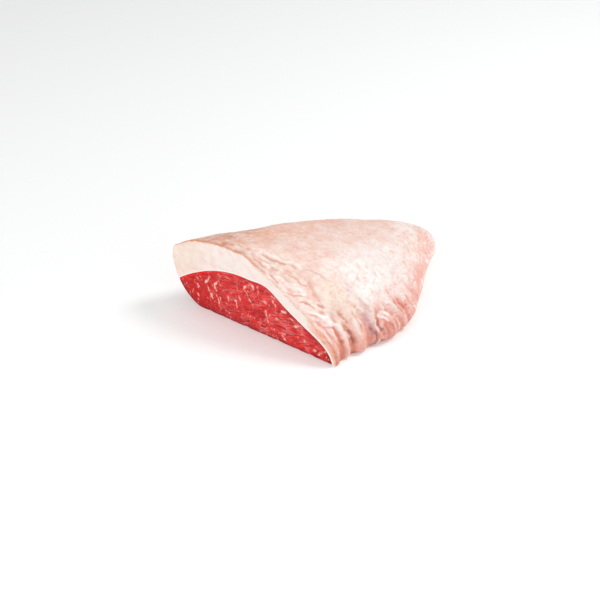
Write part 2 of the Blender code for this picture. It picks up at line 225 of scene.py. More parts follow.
# Soft areas of colour on the outer fat: a line in plan, its reach, the colour, and its strength
TINTS = (
    (((-100, 0), (-66, 2), (-46, 12), (-34, 34), (-22, 70)), 18.0, (238, 173, 137), 0.95),
    (((-58, 30), (-42, 60), (-28, 84), (-12, 112)), 12.0, (229, 169, 142), 0.85),
    (((-64, 2), (-52, 26), (-41, 54), (-31, 78), (-18, 102)), 5.5, (200, 134, 102), 0.65),
    (((-70, 60), (-52, 90), (-30, 130), (-5, 170)), 20.0, (246, 197, 181), 0.7),
    (((-30, 60), (-12, 110), (8, 150)), 14.0, (255, 205, 188), 0.75),
    (((-60, 6), (-46, 10)), 7.0, (224, 158, 122), 0.4),
    (((-41, 24), (-31, 28)), 8.0, (242, 204, 192), 0.5),
    (((-25, 60), (-14, 72)), 9.0, (247, 218, 208), 0.5),
    (((6, 146), (17, 165), (28, 178)), 6.0, (250, 208, 195), 0.5),
    (((46, 140), (32, 160), (24, 180)), 11.0, (255, 246, 240), 0.85),
    (((43, 61), (47, 84), (49, 109), (63, 104), (70, 74), (66, 52)), 19.0, (253, 248, 245), 0.95),
    (((15, 60), (25, 90), (34, 130)), 13.0, (246, 217, 205), 0.6),
    (((21, 57), (34, 65)), 9.0, (240, 200, 184), 0.4),
    (((44, 178), (58, 159), (72, 129), (82, 110), (90, 92)), 8.0, (248, 186, 174), 0.85),
    (((-16, 24), (1, 35), (15, 38), (28, 36)), 8.0, (244, 206, 192), 0.6),
    (((-20, 6), (-4, 9), (10, 12), (28, 18)), 6.0, (238, 208, 194), 0.7),
    (((46, 23), (51, 33), (60, 38), (60, 29), (54, 21)), 5.0, (246, 224, 203), 0.9),
    (((57, 16), (62, 23)), 4.5, (232, 204, 190), 0.7),
    (((66, 30), (74, 27), (80, 28)), 6.0, (238, 176, 156), 0.75),
    (((54, 7), (64, 10), (72, 13)), 4.8, (254, 234, 230), 0.9),
    (((66, 1), (76, 2), (82, 5)), 6.0, (246, 168, 138), 0.9),
    (((72, 18), (84, 17)), 4.5, (250, 204, 188), 0.85),
    (((84, 14), (86, 24), (89, 34)), 6.5, (236, 128, 98), 0.95),
    (((79, 0), (82, 3), (84, 8)), 3.2, (204, 100, 72), 0.9),
    (((56, 34), (66, 36), (76, 37)), 4.5, (249, 234, 218), 0.8),
    (((92, 44), (98, 46)), 3.0, (196, 110, 100), 0.7),
    (((90, 53), (100, 58)), 9.0, (232, 120, 92), 0.95),
    (((94, 66), (100, 74)), 6.0, (238, 168, 152), 0.7),
    (((88, 78), (93, 86)), 7.0, (241, 154, 134), 0.85),
    (((97, 50), (99, 64), (96, 78), (92, 92), (84, 108), (76, 122), (68, 138)), 5.0, (240, 148, 130), 0.6),
    (((4, 18), (30, 24), (62, 33)), 14.0, (236, 219, 202), 0.38),
)
SPECKS = ((88, 95), (92, 67.5), (84, 108), (90, 84), (86, 78))
SPECK_SIZE, SPECK_RED = 1.0, (214, 84, 74)
STROKE_RELIEF = 0.65  # the strokes' relief is this share of what their table says

# The broad streaks of fat in the lean's cut face: a line in (across, up), its half width, and how
# strongly it shows at its start and its end
MARBLES = (
    (((-57, 36), (-59, 32), (-62, 29)), 1.2, 0.6, 1.0),
    (((-60, 26), (-57, 20), (-55, 15)), 1.0, 0.35, 1.0),
    (((-48, 34), (-51, 31), (-51, 27), (-50, 25)), 1.1, 0.8, 0.8),
    (((-50, 21), (-48, 15), (-47, 8)), 1.0, 0.5, 0.6),
    (((-71, 31), (-70, 28)), 1.1, 0.7, 0.6),
    (((-72, 23), (-71, 20)), 1.1, 0.7, 0.6),
    (((-73, 13), (-72, 12)), 1.2, 0.6, 0.6),
    (((-73, 8), (-72.5, 7)), 1.1, 0.5, 0.5),
    (((-82, 12), (-82, 9)), 0.9, 0.4, 0.4),
    (((-46, 43), (-44, 42)), 1.1, 0.5, 0.5),
    (((-46, 19), (-46, 15)), 1.0, 0.5, 0.4),
    (((-38, 43), (-32, 43)), 0.8, 0.5, 0.5),
    (((-37, 24), (-36, 20)), 1.1, 0.65, 0.5),
    (((-28, 23), (-27, 17)), 1.1, 0.6, 0.5),
    (((-24, 29), (-22, 26)), 1.1, 0.55, 0.5),
    (((-12, 45), (-15, 42), (-17, 39)), 1.2, 0.6, 1.0),
    (((-16, 37), (-14, 34), (-11, 28)), 0.9, 0.8, 0.5),
    (((-7.5, 46), (-6, 43)), 1.4, 0.7, 0.6),
    (((-12, 15), (-12, 12)), 1.1, 0.5, 0.5),
    (((-8, 27), (-8, 25)), 1.1, 0.45, 0.45),
    (((-1, 47), (-1, 39)), 1.0, 0.5, 0.4),
    (((4, 36), (7, 34)), 1.8, 0.5, 0.5),
    (((6, 26), (7, 20)), 1.3, 0.6, 0.7),
    (((7, 17), (8, 15)), 1.4, 0.5, 0.5),
    (((14, 43), (17, 43)), 1.2, 0.65, 0.6),
    (((15, 39), (17, 35)), 1.4, 0.6, 0.5),
    (((18, 23), (18.5, 22.5)), 1.5, 0.8, 0.8),
    (((19, 9), (26, 11)), 1.1, 0.5, 0.7),
    (((23, 7), (25, 5)), 1.7, 0.6, 0.7),
    (((23, 30), (25, 33), (28, 33)), 1.6, 0.5, 0.7),
    (((31, 28), (36, 28)), 1.4, 0.65, 0.5),
    (((37, 22), (41, 25)), 1.5, 0.7, 0.7),
    (((47, 12), (47.5, 11.5)), 1.6, 0.6, 0.6),
    (((57, 7), (57.5, 6.5)), 1.6, 0.7, 0.7),
    (((61, 4), (65, 8), (69, 10)), 1.1, 0.9, 0.5),
)

# The faint streaks between them, with the painted glints: the seed of their draws, and how many hooks and
# dashes there are
STREAK_AND_GLINT_SEED, HOOKS, DASHES = 31, 90, 150
STREAK_REACH = 4.0  # a streak shows no farther than this from the box round its line

LEAN_SET_BACK = 0.5  # the lean's cut face lies this far behind the fat's
LEAN_END = 193.0
OVERLAP = 0.25  # lean and fat reach this far into each other

# Mesh density: distances of rings from the cut, points of a line before it is spread evenly, and
# steps along the lines
EDGE_RINGS = (0, 0.08, 0.25, 0.5, 0.85, 1.3)
FINE_RINGS, FINE_FROM, FINE_UNTIL = 0.85, 2.0, 92.0
COARSE_RINGS, POINT_RINGS = 60, 18
LEAN_RINGS = np.concatenate([[LEAN_SET_BACK, 1.0, 1.8], np.arange(3, LEAN_END, 2.4)])
DENSE_TURN, DENSE_SLOPE, DENSE_INNER = 70, 320, 400
OUTER_SHARES = np.concatenate([np.linspace(0, 0.64, 161)[:-1], np.linspace(0.64, 1, 150)])
RIM_STEPS, INNER_STEPS = 5, 90
STRIP_ROWS = 28
SIDE_STEPS, BOTTOM_STEPS = 36, 60
FACE_COLUMNS, FACE_ROWS = 400, 90

# Directions of the fibres, in degrees from +X: of the fat in plan, left and right, and of the lean on
# the cut
FAT_FIBRES = (36.0, 7.0)
LEAN_FIBRES = 12.0

# The stage, in metres and watts; a light is its name, place, size and power, and the floor's and the
# surround's colours are linear
FLOOR_SIZE, FLOOR_BELOW = 6.0, 0.0004
FLOOR_COLOUR, FLOOR_ROUGHNESS, FLOOR_GLOW = (0.858, 0.872, 0.872), 0.6, 0.2
SURROUND_COLOUR, SURROUND_STRENGTH = (1.0, 0.995, 0.99), 0.4
LIGHTS = (
    ("key", (0.55, 0.6, 1.15), 0.5, 8.3),
    ("front", (-0.3, -1.3, 0.8), 1.2, 8.3),
    ("side", (1.4, -0.2, 0.7), 0.9, 2.5),
    ("above", (-0.1, 0.2, 1.6), 0.8, 2.0),
)

# The photograph's camera: its place in metres, and which ways its picture's right side, its lower side
# and its middle lie
CAMERA_PLACE = (0.71261, -0.85879, 0.72616)
CAMERA_RIGHT = Vector((0.77033, 0.63574, -0.04926))
CAMERA_DOWN = Vector((0.32237, -0.45493, -0.83013))
CAMERA_AHEAD = Vector((-0.55016, 0.62359, -0.55539))
LENS, SENSOR = 90.0, 36.0


def smooth_curve(stations, values, at):
    """A Catmull-Rom curve through values at unevenly spaced stations, read at one place."""
    last = len(stations) - 1
    k = min(max(int(np.searchsorted(stations, at)) - 1, 0), last - 1)

    def slope(i):
        before, after = max(i - 1, 0), min(i + 1, last)
        return (values[after] - values[before]) / (stations[after] - stations[before])

    span = stations[k + 1] - stations[k]
    t = (at - stations[k]) / span
    if t < 0:
        return values[k] + slope(k) * (at - stations[k])
    start, end = slope(k) * span, slope(k + 1) * span
    return (
        values[k] * (2 * t**3 - 3 * t**2 + 1)
        + start * (t**3 - 2 * t**2 + t)
        + values[k + 1] * (3 * t**2 - 2 * t**3)
        + end * (t**3 - t**2)
    )


def row_at(rows, fields, distance):
    """The sizes that a table gives at one distance from the cut, by name."""
    stations = [row[0] for row in rows]
    return {
        field: smooth_curve(stations, [row[k + 1] for row in rows], distance)
        for k, field in enumerate(fields)
    }


def smooth(value, low, high):
    """0 below low, 1 above high, with a soft turn between."""
    t = np.clip((value - low) / (high - low), 0, 1)
    return t * t * (3 - 2 * t)


def fading(value, low, high):
    """1 below low, 0 above high, with a soft turn between."""
    return 1 - smooth(value, low, high)


def unit(value):
    """The value, cut off at 0 and 1."""
    return np.clip(value, 0, 1)


def bell(value, width):
    """1 where the value is 0, falling off on both sides over about the width."""
    return np.exp(-((value / width) ** 2))


def section_sizes(distance):
    """A section's sizes, drawn in towards its middle along the rounded point."""
    sizes = row_at(SECTIONS, SECTION_FIELDS, distance)
    into_tip = (distance - (LENGTH - TIP_ROUNDING)) / TIP_ROUNDING
    if into_tip > 0:
        share = math.sqrt(max(1 - into_tip**2, 0.0))
        middle = (sizes["left"] + sizes["right"]) / 2
        for field in ("left", "right", "ridge"):
            sizes[field] = middle + (sizes[field] - middle) * share
        for field in ("left_foot", "right_foot"):
            sizes[field] *= share
        for field in ("height", "belly", "toe"):
            sizes[field] *= 0.35 + 0.65 * share
    return sizes


def section_outline(sizes, distance):
    """Dense (across, up) points from the left foot over the ridge to the right foot."""
    shoulder = float(smooth(distance, SHOULDER_FROM, SHOULDER_TO))
    power = SLOPE_POWER[0] + (SLOPE_POWER[1] - SLOPE_POWER[0]) * shoulder
    root = SLOPE_ROOT[0] + (SLOPE_ROOT[1] - SLOPE_ROOT[0]) * shoulder
    quarter = np.linspace(0, math.pi / 2, DENSE_TURN)
    bend = 2 / UNDERCUT_POWER
    undercut_x = sizes["left"] + sizes["left_foot"] * (1 - np.sin(quarter) ** bend)
    undercut_z = sizes["belly"] * (1 - np.cos(quarter) ** bend)
    wall_x = sizes["ridge"] - (sizes["ridge"] - sizes["left"]) * np.cos(quarter)
    wall_z = sizes["belly"] + (sizes["height"] - sizes["belly"]) * np.sin(quarter)
    run = np.sin(np.linspace(0, math.pi / 2, DENSE_SLOPE))
    slope_x = sizes["ridge"] + (sizes["right"] - sizes["ridge"]) * run
    slope_z = sizes["toe"] + (sizes["height"] - sizes["toe"]) * (1 - run**power) ** root
    toe_x = sizes["right"] - sizes["right_foot"] * (1 - np.cos(quarter))
    toe_z = sizes["toe"] * (1 - np.sin(quarter))
    across = np.concatenate([undercut_x, wall_x[1:], slope_x[1:], toe_x[1:]])
    up = np.concatenate([undercut_z, wall_z[1:], slope_z[1:], toe_z[1:]])
    return np.stack([across, up], axis=1)


def rim_edge(sizes, lean):
    """Where the lean's top meets the floor on the right."""
    foot = sizes["left"] + sizes["left_foot"]
    edge = sizes["right"] - sizes["right_foot"] - lean["rim"]
    return max(edge, foot + 0.1 * (sizes["right"] - foot))


def lean_top(across, sizes, lean):
    """Height of the muscle's top surface, 0 where it would lie below the floor."""
    edge = rim_edge(sizes, lean)
    left_share = (lean["crown_x"] - across) / (lean["crown_x"] - sizes["left"] + 1.0)
    left = lean["crown"] - lean["drop"] * np.abs(left_share) ** LEAN_DROP_POWER
    right_share = unit((across - lean["crown_x"]) / max(edge - lean["crown_x"], 5.0))
    right = max(lean["crown"], 0) * (1 - right_share**LEAN_SLOPE_POWER) ** LEAN_SLOPE_ROOT
    swelling = max(lean["swelling"], 0) * bell(across - SWELLING_X, SWELLING_REACH)
    lift = max(lean["lift"], 0) * bell(across - LIFT_X, LIFT_REACH) * fading(across, edge - 3, edge)
    return np.maximum(np.where(across < lean["crown_x"], left, right) + swelling + lift, 0)


def spread(line, shares):
    """The same line with its points at given shares of its length."""
    travelled = np.concatenate([[0], np.cumsum(np.hypot(*np.diff(line, axis=0).T))])
    places = shares * travelled[-1]
    return np.stack([np.interp(places, travelled, line[:, k]) for k in range(2)], axis=1)


def on_floor(start_x, end_x, steps):
    """A straight line of points on the floor."""
    across = np.linspace(start_x, end_x, steps + 1)
    return np.stack([across, np.zeros_like(across)], axis=1)


def section_lines(distance):
    """The lines of one section, as (across, up) rows that share their ends: the outer fat from the
    lean's upper left corner to the right foot, the rim of fat on the floor, the lean's top back to
    that corner, and the lean's side and bottom from the corner to the rim."""
    sizes = section_sizes(distance)
    lean = row_at(LEAN_TOPS, LEAN_FIELDS, distance)
    line = section_outline(sizes, distance)
    above = line[:, 1] - lean_top(line[:, 0], sizes, lean)
    first = int(np.argmax(above > 0))
    if first > 0 and above[0] < 0:
        t = above[first - 1] / (above[first - 1] - above[first])
        corner = line[first - 1] + t * (line[first] - line[first - 1])
    else:
        first, corner = 1, np.array([line[0, 0], 0.0])
    outer = spread(np.vstack([corner, line[first:]]), OUTER_SHARES)
    edge = rim_edge(sizes, lean)
    rim = on_floor(line[-1, 0], edge, RIM_STEPS)
    inner_x = np.linspace(edge, corner[0], DENSE_INNER)
    inner = np.stack([inner_x, lean_top(inner_x, sizes, lean)], axis=1)
    inner[0, 1], inner[-1, 1] = 0, corner[1]
    inner = spread(inner, np.linspace(0, 1, INNER_STEPS + 1))
    side = spread(np.vstack([corner, line[:first][::-1]]), np.linspace(0, 1, SIDE_STEPS + 1))
    return outer, rim, inner, side, on_floor(side[-1, 0], edge, BOTTOM_STEPS)


def noise_at(points, size, shift=0.0):
    """Smooth noise, about -1 to 1, at (n, 3) points, with bumps of about size, which may be 3 numbers.
    The shift picks a place in the endless pattern, so that fields with other shifts don't agree."""
    return np.array([noise.noise(p) for p in (points / size + shift).tolist()])


def noises(points, *fields):
    """Noise of several sizes in one sum; each field is its weight, size and shift."""
    return sum(weight * noise_at(points, size, shift) for weight, size, shift in fields)


def ridged(points, size, shift=0.0):
    """Noise with sharp crests, -1 to 1."""
    return 1 - 2 * np.minimum(2 * np.abs(noise_at(points, size, shift)), 1)


def thin_lines(points, size, shift, width=0.08):
    """1 along winding lines about as far apart as size, 0 between them."""
    return unit(1 - np.abs(noise_at(points, size, shift)) / width)


def terraces(value, steps):
    """The same field as flat steps with short, steep rises between."""
    level = value * steps
    whole = np.floor(level)
    return (whole + smooth(level - whole, 0.6, 1.0)) / steps


def turned(points, degrees, second=1):
    """Points turned so that their X runs along a direction in the plane of X and a second axis."""
    angle = math.radians(degrees)
    along_it = points.copy()
    along_it[:, 0] = points[:, 0] * math.cos(angle) + points[:, second] * math.sin(angle)
    along_it[:, second] = points[:, second] * math.cos(angle) - points[:, 0] * math.sin(angle)
    return along_it


def brushed(points, length, width, shift):
    """Noise drawn out along the fat's fibres: aslant on the left and straight across on the right."""
    right = smooth(points[:, 0], -30, 30)
    wander = 4.0 * noise_at(points, 16.0, shift + 5)
    points = points + np.stack([wander, wander, np.zeros_like(wander)], axis=1)
    size = (length, width, length)
    aslant = noise_at(turned(points, FAT_FIBRES[0]), size, shift)
    straight = noise_at(turned(points, FAT_FIBRES[1]), size, shift + 50)
    return (aslant * (1 - right) + straight * right) / np.sqrt(right**2 + (1 - right) ** 2)


def softened(grid, passes):
    """A grid of values averaged with its neighbours, again and again."""
    for _ in range(passes):
        wide = np.pad(grid, 1, mode="edge")
        beside_it = wide[:-2, 1:-1] + wide[2:, 1:-1] + wide[1:-1, :-2] + wide[1:-1, 2:]
        grid = (beside_it + 4 * grid) / 8
    return grid


def beside(path, across, distance):
    """How far each place lies from a bent line, and the share of the line before its nearest point."""
    points = np.array(path, dtype=float)
    steps = np.linalg.norm(np.diff(points, axis=0), axis=1)
    passed = 0.0
    nearest = np.full(across.shape, np.inf)
    share = np.zeros(across.shape)
    for start, end, step in zip(points, points[1:], steps):
        line = end - start
        t = unit(((across - start[0]) * line[0] + (distance - start[1]) * line[1]) / step**2)
        aside = np.hypot(across - start[0] - line[0] * t, distance - start[1] - line[1] * t)
        closer = aside < nearest
        nearest = np.where(closer, aside, nearest)
        share = np.where(closer, (passed + t * step) / steps.sum(), share)
        passed += step
    return nearest, share


def coarse_relief(across, distance):
    """The relief that the solids have too, how far each point lies past the step along the cut, and
    whether it is within the step's reach."""
    pressed = np.zeros(across.shape)
    for path, depth_from, depth_to, half_width in CREASES:
        aside, share = beside(path, across, distance)
        depth = depth_from + (depth_to - depth_from) * smooth(share, 0.1, 1)
        pressed = np.maximum(pressed, depth * bell(aside, half_width))
    raised = np.zeros(across.shape)
    for fold_x, fold_distance, rise, reach in FOLDS:
        raised += rise * bell(np.hypot(across - fold_x, distance - fold_distance), reach)
    line_x, line_distance = np.array(STEP_LINE, dtype=float).T
    past_step = distance - np.interp(across, line_x, line_distance)
    in_reach = smooth(across, line_x[0] - 12, line_x[0] + 12)
    in_reach = in_reach * fading(across, line_x[-1] - 16, line_x[-1])
    behind = smooth(past_step, -STEP_EDGE, STEP_EDGE) * fading(past_step, STEP_EDGE, STEP_RUN)
    raised += STEP_RISE * in_reach * behind
    flat = np.stack([across, distance, np.zeros_like(across)], axis=1)
    return raised - pressed + LUMP_HEIGHT * noise_at(flat, LUMP_SIZE), past_step, in_reach


class Regions:
    """How much each point of the outer fat belongs to each kind of surface."""

    def __init__(self, points, past_step, in_reach):
        across, distance, up = points.T
        self.gathered = smooth(across, 38, 60) * fading(distance, 66, 100)
        self.band = in_reach * fading(past_step, -1, 6) * (1 - 0.6 * self.gathered)
        self.plain = 1 - unit(self.gathered + self.band)
        self.tan = fading(across + 0.45 * distance, -42, 0) * (0.3 + 0.7 * smooth(up, 36, 60))
        self.edge = smooth(across + 0.5 * distance, 104, 132)
        self.bright = np.exp(-(((across - 52) / 26) ** 2) - ((distance - 84) / 34) ** 2)


def stroke_shares(points):
    """For each narrow stroke, how strongly it shows at each point."""
    across, distance, _ = points.T
    wobbled = (across + 1.1 * noise_at(points, 4.0, 3.1), distance + 1.1 * noise_at(points, 4.0, 7.7))
    shares = []
    for path, _, half_width, _, _ in STROKES:
        aside, share = beside(path, *wobbled)
        fade = smooth(share, -0.02, 0.15) * fading(share, 0.85, 1.02)
        shares.append(fade * bell(aside, half_width))
    return shares


def fat_relief(points, shares, push, regions):
    """How far the outer fat stands out at each point, beginning with the relief that the solids have."""
    for (_, rise, _, _, _), share in zip(STROKES, shares):
        push = push + STROKE_RELIEF * rise * share
    # Wrinkles run down the slope in the folds, torn flakes lie along the cut, fibres run elsewhere
    folds = 0.22 * ridged(points, (12.0, 5.0, 12.0), 11.0)
    folds += noises(points, (0.7, 6.5, 5.0), (0.35, 2.8, 12.0))
    torn = noise_at(points, (6.5, 5.2, 6.5), 2.0)
    flakes = 0.6 * terraces(torn, 3.0) + 0.45 * torn + 0.3 * noise_at(points, 2.6, 9.0)
    fibres = 0.12 * brushed(points, 9.0, 3.0, 1.0) + 0.05 * brushed(points, 4.0, 1.4, 2.0)
    fibres += 0.12 * noise_at(points, 3.2, 13.0)
    push = push + regions.gathered * folds + regions.band * flakes + regions.plain * fibres
    push = push + CORNER_RISE * np.exp(-(((points - CORNER) / CORNER_REACH) ** 2).sum(axis=1))
    return push + 0.25 * noise_at(points, 8.0, 4.0) + 0.08 * noise_at(points, 2.0, 6.0)


def knife_edge(points):
    """How far the outer fat turns down at the knife's edge, most where the cut runs down the slope."""
    across, distance, _ = points.T
    ragged = smooth(across, -50, -25) * fading(across, 40, 70)
    turn = 0.7 + ragged * 1.8 * np.abs(noise_at(points * [1, 0, 1], 4.0, 8.0))
    near = unit(1 - distance / turn)
    return turn * (1 - np.sqrt(1 - near**2))


def ring_distances():
    """How far from the cut each ring of the fat lies, from the knife's edge to the rounded point."""
    straight = LENGTH - TIP_ROUNDING
    fine = np.arange(FINE_FROM, FINE_UNTIL, FINE_RINGS)
    coarse = np.linspace(FINE_UNTIL, straight, COARSE_RINGS, endpoint=False)
    angles = np.linspace(0, math.pi / 2, POINT_RINGS + 1)[:-1]
    return np.concatenate([EDGE_RINGS, fine, coarse, straight + TIP_ROUNDING * np.sin(angles)])


class Skin:
    """Collects the points and faces of one closed mesh, with a colour for each point. Points are given
    as (across, distance from the cut, up), in millimetres."""

    def __init__(self):
        self.points, self.colours, self.cuts, self.faces, self.count = [], [], [], [], 0

    def add(self, points, colours, cut):
        """Adds an array of points of any layout, and returns their numbers in the same layout. cut is
        1 on a cut face and 0 elsewhere."""
        flat = points.reshape(-1, 3) + (0, CUT_Y, 0)
        self.points.append(flat)
        self.colours.append(np.broadcast_to(colours, flat.shape))
        self.cuts.append(np.full(len(flat), cut))
        numbers = np.arange(self.count, self.count + len(flat)).reshape(points.shape[:-1])
        self.count += len(flat)
        return numbers

    def grid(self, numbers):
        """Faces between the neighbours of a grid of points."""
        near, far = numbers[:-1], numbers[1:]
        quads = np.stack([near[:, :-1], near[:, 1:], far[:, 1:], far[:, :-1]], axis=-1)
        self.faces += quads.reshape(-1, 4).tolist()

    def bridge(self, first, second, first_places, second_places):
        """Triangles between two rows of points whose places along the row are given, both rising."""
        i = j = 0
        while i < len(first) - 1 or j < len(second) - 1:
            take_first = j == len(second) - 1 or (
                i < len(first) - 1 and first_places[i + 1] <= second_places[j + 1]
            )
            tip = first[i + 1] if take_first else second[j + 1]
            self.faces.append([int(first[i]), int(tip), int(second[j])])
            i, j = (i + 1, j) if take_first else (i, j + 1)

    def make(self, name, material):
        """The finished object, with its colours in tint and its cut faces in cut."""
        mesh = bpy.data.meshes.new(name)
        mesh.from_pydata((np.concatenate(self.points) * MM).tolist(), [], self.faces)
        colours = np.concatenate(self.colours)
        rgba = np.concatenate([colours, np.ones((len(colours), 1))], axis=1)
        mesh.attributes.new("tint", "FLOAT_COLOR", "POINT").data.foreach_set("color", rgba.ravel())
        mesh.attributes.new("cut", "FLOAT", "POINT").data.foreach_set("value", np.concatenate(self.cuts))
        shape = bmesh.new()
        shape.from_mesh(mesh)
        bmesh.ops.remove_doubles(shape, verts=shape.verts, dist=SAME_PLACE)
        bmesh.ops.dissolve_degenerate(shape, edges=shape.edges, dist=SAME_PLACE)
        bmesh.ops.recalc_face_normals(shape, faces=shape.faces)
        shape.to_mesh(mesh)
        shape.free()
        mesh.materials.append(material)
        mesh.shade_smooth()
        made = bpy.data.objects.new(name, mesh)
        bpy.context.scene.collection.objects.link(made)
        return made


def linear(colour):
    """Linear values of a colour as seen, 0 to 255."""
    seen = np.asarray(colour, dtype=float) / 255
    return np.where(seen <= 0.04045, seen / 12.92, ((seen + 0.055) / 1.055) ** 2.4)


def plain_coat(points, shade):
    """One shade, as linear values, for every point."""
    return np.tile(linear(shade), (len(points), 1))


def coated(colours, *coats):
    """Colours with coats over them, one after another; each is a shade and its share at each point."""
    for shade, share in coats:
        colours = colours + (linear(shade) - colours) * unit(share)[:, None]
    return colours


def shares_along(line):
    """The share of a line's length that lies before each of its points."""
    travelled = np.concatenate([[0], np.cumsum(np.linalg.norm(np.diff(line, axis=0), axis=1))])
    return travelled / travelled[-1]


def grid_normals(grid):
    """Unit normals of a grid of points, pointing away from the loft's middle."""
    down_rows = np.gradient(grid, axis=0)
    down_columns = np.gradient(grid, axis=1)
    normals = np.cross(down_rows, down_columns)
    normals /= np.maximum(np.linalg.norm(normals, axis=-1, keepdims=True), 1e-9)
    middle = grid.mean(axis=1, keepdims=True) * [1, 1, 0.4]
    outward = np.sum(normals * (grid - middle), axis=-1).mean()
    return normals * np.sign(outward)


def outer_tint(points, shares, regions, standing):
    """Colour of the outer fat, as linear values. standing is how far each point stands above those
    round it, -1 to 1; it sets the painted shade in hollows and the painted highlight on crests."""
    across, distance, up = points.T
    bent = noise_at(points, 9.0, 20.0)
    colours = plain_coat(points, OUTER_FAT)
    for path, reach, shade, strength in TINTS:
        wander = 0.45 * reach * bent
        aside, _ = beside(path, across + wander, distance - wander)
        colours = coated(colours, (shade, strength * bell(aside, reach)))
    # Mottling: streaks along the fibres, and patches of several sizes
    streaks = 0.35 * brushed(points, 5.0, 2.2, 21.0) + 0.35 * brushed(points, 2.6, 1.3, 22.0)
    patches = noises(points, (1, 8.0, 23.0), (0.9, 3.4, 24.0), (0.7, 1.7, 25.0))
    veins = thin_lines(points, (9.0, 5.0, 9.0), 26.0) - thin_lines(points, (8.0, 4.5, 8.0), 27.0)
    contrast = 0.6 * regions.plain + 0.75 * regions.band + 0.6 * regions.gathered
    contrast = contrast + 0.8 * regions.tan + 0.45 * regions.edge
    contrast = contrast * (1 - 0.7 * regions.bright)
    brushing = regions.plain * (1 - 0.8 * regions.edge)
    mottle = contrast * (streaks * brushing + patches * (1.15 - 0.1 * brushing) + 0.45 * veins)
    # Along the thin edge the mottling is finer, like pebbles
    pebbles = noises(points, (1.6, 1.9, 28.0), (0.8, 4.5, 29.0))
    mottle = mottle + 0.6 * pebbles * unit(regions.edge + 0.5 * regions.gathered)
    blush, paleness = np.clip(mottle, 0, None), np.clip(-mottle, 0, None)
    pale_most = (0.8 - 0.45 * regions.gathered) * (1 - 0.5 * regions.tan)
    fine_veins = thin_lines(points, (5.0, 3.0, 5.0), 32.0) * unit(0.5 + noise_at(points, 7.0, 33.0))
    colours = coated(
        colours,
        (BLUSH, 0.75 * blush * (1 - regions.tan)),
        (TAN_SHADE, 0.6 * blush * regions.tan),
        (PALE, pale_most * paleness),
        (BLUSH, 0.5 * fine_veins * regions.plain),
        # Painted shade where the surface lies below its surroundings
        (PAINTED_HOLLOW_SHADE, 0.55 * unit(-standing)),
        # Deeper painted shade in the deepest hollows of the gathered folds
        (PAINTED_FOLD_SHADE, 0.55 * regions.gathered * unit(-standing - 0.25)),
        # Painted highlight where the surface stands above its surroundings
        (WHITE, 0.3 * unit(standing)),
        # Painted shade near the floor on the gathered lobes
        (PAINTED_FOOT_SHADE, 0.55 * regions.gathered * bell(up, 12)),
    )
    for (_, _, _, shade, strength), share in zip(STROKES, shares):
        colours = coated(colours, (shade, strength * share))
    for speck_x, speck_distance in SPECKS:
        away = np.hypot(across - speck_x, distance - speck_distance)
        colours = coated(colours, (SPECK_RED, 0.7 * bell(away, SPECK_SIZE)))
    # A thin brown line along the knife's edge on the high side
    edge_width = np.clip(2.5 + 1.0 * bent + 1.8 * noise_at(points, 3.0, 34.0), 0.6, None)
    edge_line = bell(distance, edge_width) * fading(across, -14, 8) * smooth(up, 52, 64)
    return coated(colours, (EDGE_BROWN, 0.8 * edge_line))


def strip_tint(points, from_lean, from_top):
    """Colour of the fat's cut face: cream, with a painted highlight along its edge at the lean, and
    browner along the outside.
    """
    across, _, up = points.T
    mottle = noises(points, (1.1, 6.0, 40.0), (0.9, 2.2, 41.0))
    middle = bell(across + 62, 16)
    # Down the slope the strip's outer margin is torn like the fat above it
    torn_margin = 2.6 + 2.4 * noise_at(points, 5.0, 44.0)
    margin = smooth(across, -24, 6) * fading(from_top / torn_margin, 0.6, 1.3)
    flaked = unit(0.5 + 1.2 * noise_at(points, 2.4, 45.0))
    # Towards the thin end the outer fat rolls over the edge, down to a thin pale line along the lean,
    # where the painted highlight lies
    rolled = smooth(across, 48, 62) * smooth(from_lean, 1.4, 3.2)
    torn = unit(0.5 + 1.6 * noise_at(points, 2.6, 42.0))
    browned = bell(from_top, 1.2) * fading(across, -28, 4) * torn * smooth(up, 52, 64)
    return coated(
        plain_coat(points, CUT_FAT),
        (CUT_FAT_LEFT, fading(across, -80, -45)),
        (CUT_BLUSH, (0.42 + 0.4 * middle) * unit(mottle)),
        (PALE, 0.45 * unit(-mottle)),
        (TORN_CREAM, 0.8 * margin),
        (BROWN, 0.5 * margin * unit(2 * flaked - 1.2)),
        (WHITE, 0.6 * margin * unit(0.8 - 2 * flaked)),
        (PEACH, 0.9 * rolled),
        (RUST, 0.7 * rolled * unit(noise_at(points, 3.0, 43.0))),
        # Painted highlight along the fat's edge at the lean
        (PAINTED_EDGE_HIGHLIGHT, bell(from_lean, 1.1)),
        (EDGE_BROWN, 0.85 * browned),
    )


def fat_lines():
    """The fat's lines at every ring: the outer ones, and the hidden ones along the rim and the lean."""
    outer, hidden = [], []
    for distance in ring_distances():
        top, rim, inner, _, _ = section_lines(distance)
        outer.append(np.insert(top, 1, distance, axis=1))
        hidden.append(np.insert(np.concatenate([rim, inner[1:]]), 1, distance, axis=1))
    return np.array(outer), np.array(hidden)


